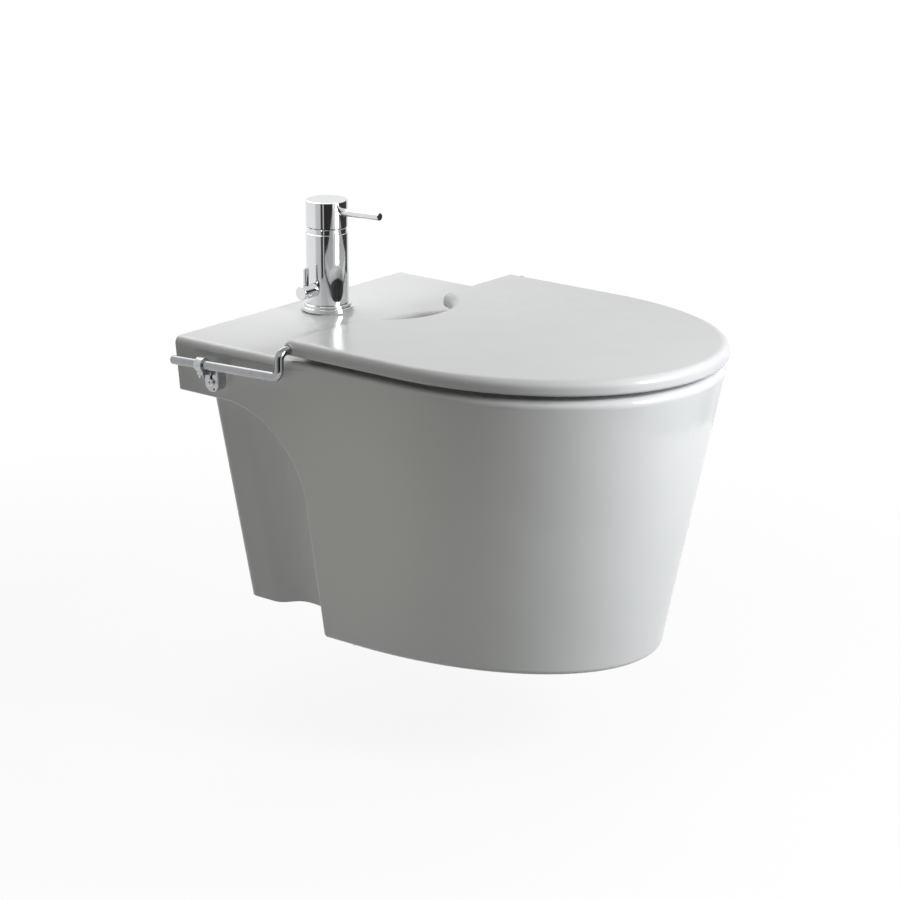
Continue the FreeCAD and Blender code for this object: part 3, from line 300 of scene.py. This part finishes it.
def zinc():
    """Plated casting with a slight spangle."""
    n = Material("plated_zinc", Metallic=1.0)
    n.colour(n.tone(n.cells(scale=420.0),
                    low=(0.42, 0.44, 0.45), high=(0.56, 0.575, 0.58), span=FULL))
    n.roughness(n.spread(n.noise(scale=240.0, detail=3.0), span=MIDDLE, result=(0.26, 0.40)))
    n.normal(n.bump(n.noise(scale=700.0, detail=3.0), depth=0.00006, strength=0.5))
    return n.material


def dull(name, low, high, rough, grain, depth):
    """Matt plastic or rubber with a moulded grain."""
    n = Material(name)
    n.colour(n.tone(n.noise(scale=40.0, detail=4.0, rough=0.6), low, high))
    n.roughness(n.spread(n.noise(scale=120.0, detail=3.0), span=MIDDLE, result=rough))
    n.normal(n.bump(n.noise(scale=grain, detail=3.0), depth, strength=0.6))
    return n.material


MATERIALS = {
    "glaze": glazed_ceramic(),
    "cover": gloss_plastic(),
    "chrome": chrome(),
    "zinc": zinc(),
    "steel": brushed("brushed_steel", low=(0.53, 0.54, 0.55), high=(0.66, 0.67, 0.68),
                     rough=(0.22, 0.36), stretch=(6.0, 1.0, 1.0), grain=160.0),
    "brass": brushed("turned_brass", low=(0.60, 0.45, 0.20), high=(0.74, 0.59, 0.32),
                     rough=(0.22, 0.38), stretch=(1.0, 1.0, 9.0), grain=140.0),
    "copper": brushed("drawn_copper", low=(0.66, 0.36, 0.24), high=(0.78, 0.48, 0.35),
                      rough=(0.24, 0.40), stretch=(9.0, 9.0, 1.0), grain=140.0),
    "rubber": dull("grey_rubber", low=(0.42, 0.43, 0.43), high=(0.52, 0.53, 0.52),
                   rough=(0.55, 0.72), grain=500.0, depth=0.0001),
    "plastic": dull("natural_plastic", low=(0.70, 0.70, 0.67), high=(0.78, 0.78, 0.75),
                    rough=(0.34, 0.48), grain=380.0, depth=0.00006),
}


def paint_nodes():
    """Give every CAD node the material of its slot, and the two hinge bars their own darker plating, which
    partly carries painted shade.
    """
    bar = bar_plating_and_painted_shade()
    for entry in frame["record"]["subparts"]:
        name = entry["node"]
        slots = frame["nodes"][name].data.materials
        slots.clear()
        slots.append(bar if name.startswith("hinge_rod") else MATERIALS[entry["material_slot"]])


def add_piece(name, points, faces, node):
    """Piece on the fixed body that shares a CAD node's finish."""
    entry = next(row for row in frame["record"]["subparts"] if row["node"] == node)
    mesh = bpy.data.meshes.new(name)
    mesh.from_pydata(points, [], faces)
    mesh.polygons.foreach_set("use_smooth", [True] * len(mesh.polygons))
    mesh.set_sharp_from_angle(angle=math.radians(SHARP_ANGLE))
    mesh.materials.append(MATERIALS[entry["material_slot"]])
    piece = bpy.data.objects.new(name, mesh)
    bpy.context.collection.objects.link(piece)
    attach(piece, "fixed_body")


def sweep_faces(rings, sides):
    """Outward faces of a tube made of closed rings, with both ends shut."""
    faces = []
    for i in range(rings - 1):
        here, ahead = i * sides, (i + 1) * sides
        for j in range(sides):
            k = (j + 1) % sides
            faces.append((ahead + j, ahead + k, here + k, here + j))
    faces.append(tuple(range(sides)))
    faces.append(tuple((rings - 1) * sides + j for j in reversed(range(sides))))
    return faces


def make_thread():
    """Helical thread on the free end of the tap's shank, fading out at both ends."""
    low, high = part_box("tap_shank")
    nut_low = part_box("fixing_nut")[0]
    x, y = (low.x + high.x) / 2, (low.y + high.y) / 2
    radius = (high.x - low.x) / 2
    begin = low.z + THREAD_END
    turns = (nut_low.z - THREAD_END - begin) / THREAD_PITCH
    rings = int(turns * THREAD_STEPS) + 1
    points = []
    for i in range(rings):
        turn = i / THREAD_STEPS
        rise = max(THREAD_FADED, min(1.0, turn, (rings - 1) / THREAD_STEPS - turn))
        angle = math.tau * turn
        z = begin + turn * THREAD_PITCH
        for out, along in THREAD_PROFILE:
            r = radius + (out * rise if out > 0 else out)
            points.append((x + r * math.cos(angle), y + r * math.sin(angle), z + along))
    add_piece("shank_thread", points, sweep_faces(rings, len(THREAD_PROFILE)), "tap_shank")


def make_grip_ribs():
    """Rounded finger ribs along the ball nut."""
    low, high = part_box("ball_nut")
    x, z = (low.x + high.x) / 2, (low.z + high.z) / 2
    radius = (high.x - low.x) / 2 - RIB_SINK
    start, stop = low.y + RIB_END, high.y - RIB_END
    rings = [(start + away * RIB_R, share) for away, share in RIB_TAPER]
    rings += [(stop - away * RIB_R, share) for away, share in reversed(RIB_TAPER)]
    points, faces = [], []
    for i in range(RIBS):
        angle = math.tau * i / RIBS
        middle_x, middle_z = x + radius * math.cos(angle), z + radius * math.sin(angle)
        first = len(points)
        for y, share in rings:
            for j in range(RIB_SIDES):
                turn = angle + math.tau * j / RIB_SIDES
                points.append((middle_x + share * RIB_R * math.cos(turn), y,
                               middle_z + share * RIB_R * math.sin(turn)))
        faces += [tuple(first + k for k in face) for face in sweep_faces(len(rings), RIB_SIDES)]
    add_piece("ball_nut_ribs", points, faces, "ball_nut")


def make_floor():
    """Pale floor that stays near white to the camera and still takes a soft shadow."""
    mesh = bpy.data.meshes.new("floor")
    turns = [math.tau * i / FLOOR_SIDES for i in range(FLOOR_SIDES)]
    edge = [(FLOOR_R * math.cos(turn), FLOOR_R * math.sin(turn), FLOOR_Z) for turn in turns]
    mesh.from_pydata(edge, [], [range(FLOOR_SIDES)])
    floor = bpy.data.objects.new("floor", mesh)
    bpy.context.collection.objects.link(floor)
    n = Material("pale_floor")
    seen = n.seen(n.add("ShaderNodeLightPath"))
    grain = n.noise(scale=3.0, detail=3.0)
    n.colour(n.blend(seen, n.tone(grain, *FLOOR_BOUNCE), n.tone(grain, *FLOOR_SEEN)))
    n.roughness(n.spread(grain, span=MIDDLE, result=(0.75, 0.85)))
    white = n.add("ShaderNodeEmission")
    white.inputs["Strength"].default_value = 1.0
    away = n.add("ShaderNodeVectorMath", operation="LENGTH")
    n.link(n.point, away.inputs[0])
    share = n.spread(away.outputs["Value"], span=FLOOR_FADE_R, result=FLOOR_WHITE)
    n.mix(n.math("MULTIPLY", seen, share), n.shader.outputs["BSDF"], white.outputs["Emission"],
          n.tree.nodes["Material Output"])
    mesh.materials.append(n.material)


def make_world():
    """White to the camera, ambient light from above for the object, a studio for reflections."""
    world = bpy.data.worlds.new("studio")
    bpy.context.scene.world = world
    n = Tree(world)
    n.tree.nodes.clear()
    direction = n.add("ShaderNodeTexCoord").outputs["Generated"]

    def along(way):
        node = n.add("ShaderNodeVectorMath", operation="DOT_PRODUCT")
        node.inputs[1].default_value = way
        n.link(direction, node.inputs[0])
        return node.outputs["Value"]

    def background(colour, strength):
        node = n.add("ShaderNodeBackground")
        node.inputs["Color"].default_value = colour
        n.link(strength, node.inputs["Strength"])
        return node.outputs["Background"]

    def levels(source, table, start, stop):
        place = n.spread(source, span=(start, stop), result=FULL)
        return n.ramp(place, [((at - start) / (stop - start), (level,) * 3) for at, level in table])

    turn = math.radians(-CAMERA_AZIMUTH)
    to_camera = along((-math.sin(turn), -math.cos(turn), 0.0))
    to_right = along((math.cos(turn), -math.sin(turn), 0.0))
    height = along((0.0, 0.0, 1.0))
    angle = n.math("MULTIPLY", n.math("ARCTAN2", to_right, to_camera), math.degrees(1.0))
    walls = levels(angle, STUDIO_WALLS, -180.0, 180.0)
    room = n.math("MAXIMUM", walls, n.spread(height, span=STUDIO_CEILING, result=FULL))
    room = n.math("MULTIPLY", room, levels(height, STUDIO_SHARE, -1.0, 1.0))
    path = n.add("ShaderNodeLightPath")
    room = n.math("MAXIMUM", room, path.outputs["Is Camera Ray"])
    studio = background((1.0, 1.0, 1.0, 1.0), room)
    ambient = background(AMBIENT_COLOUR, n.spread(height, span=AMBIENT_HEIGHT, result=AMBIENT_LEVEL))
    n.mix(n.seen(path), ambient, studio, n.add("ShaderNodeOutputWorld"))


def aim(place, target):
    """Matrix that puts a lamp or the camera at a place and faces it to a target."""
    way = Vector(target) - Vector(place)
    return Matrix.Translation(Vector(place)) @ way.to_track_quat("-Z", "Y").to_matrix().to_4x4()


def make_lamp(name, power, size, colour, place, target, spread=180.0, in_gloss=True):
    """Area lamp that the camera doesn't see."""
    data = bpy.data.lights.new(name, "AREA")
    data.energy = power
    data.size = size
    data.color = colour
    data.spread = math.radians(spread)
    lamp = bpy.data.objects.new(name, data)
    bpy.context.collection.objects.link(lamp)
    lamp.matrix_world = aim(place, target)
    lamp.visible_camera = False
    lamp.visible_glossy = in_gloss


def make_camera():
    """Camera at the photograph's view."""
    azimuth = math.radians(-CAMERA_AZIMUTH)
    rise = math.radians(CAMERA_ELEVATION)
    way = Vector((math.sin(azimuth) * math.cos(rise), math.cos(azimuth) * math.cos(rise), -math.sin(rise)))
    data = bpy.data.cameras.new("camera")
    data.lens = LENS_MM
    data.sensor_width = SENSOR_MM
    data.clip_end = CAMERA_REACH
    camera = bpy.data.objects.new("camera", data)
    bpy.context.collection.objects.link(camera)
    camera.matrix_world = aim(Vector(CAMERA_TARGET) - way * CAMERA_DISTANCE, CAMERA_TARGET)
    bpy.context.scene.camera = camera


paint_nodes()
make_thread()
make_grip_ribs()
make_floor()
make_world()
for lamp_name, settings in LAMPS.items():
    make_lamp(lamp_name, **settings)
make_camera()
bpy.context.scene.view_settings.view_transform = "Standard"
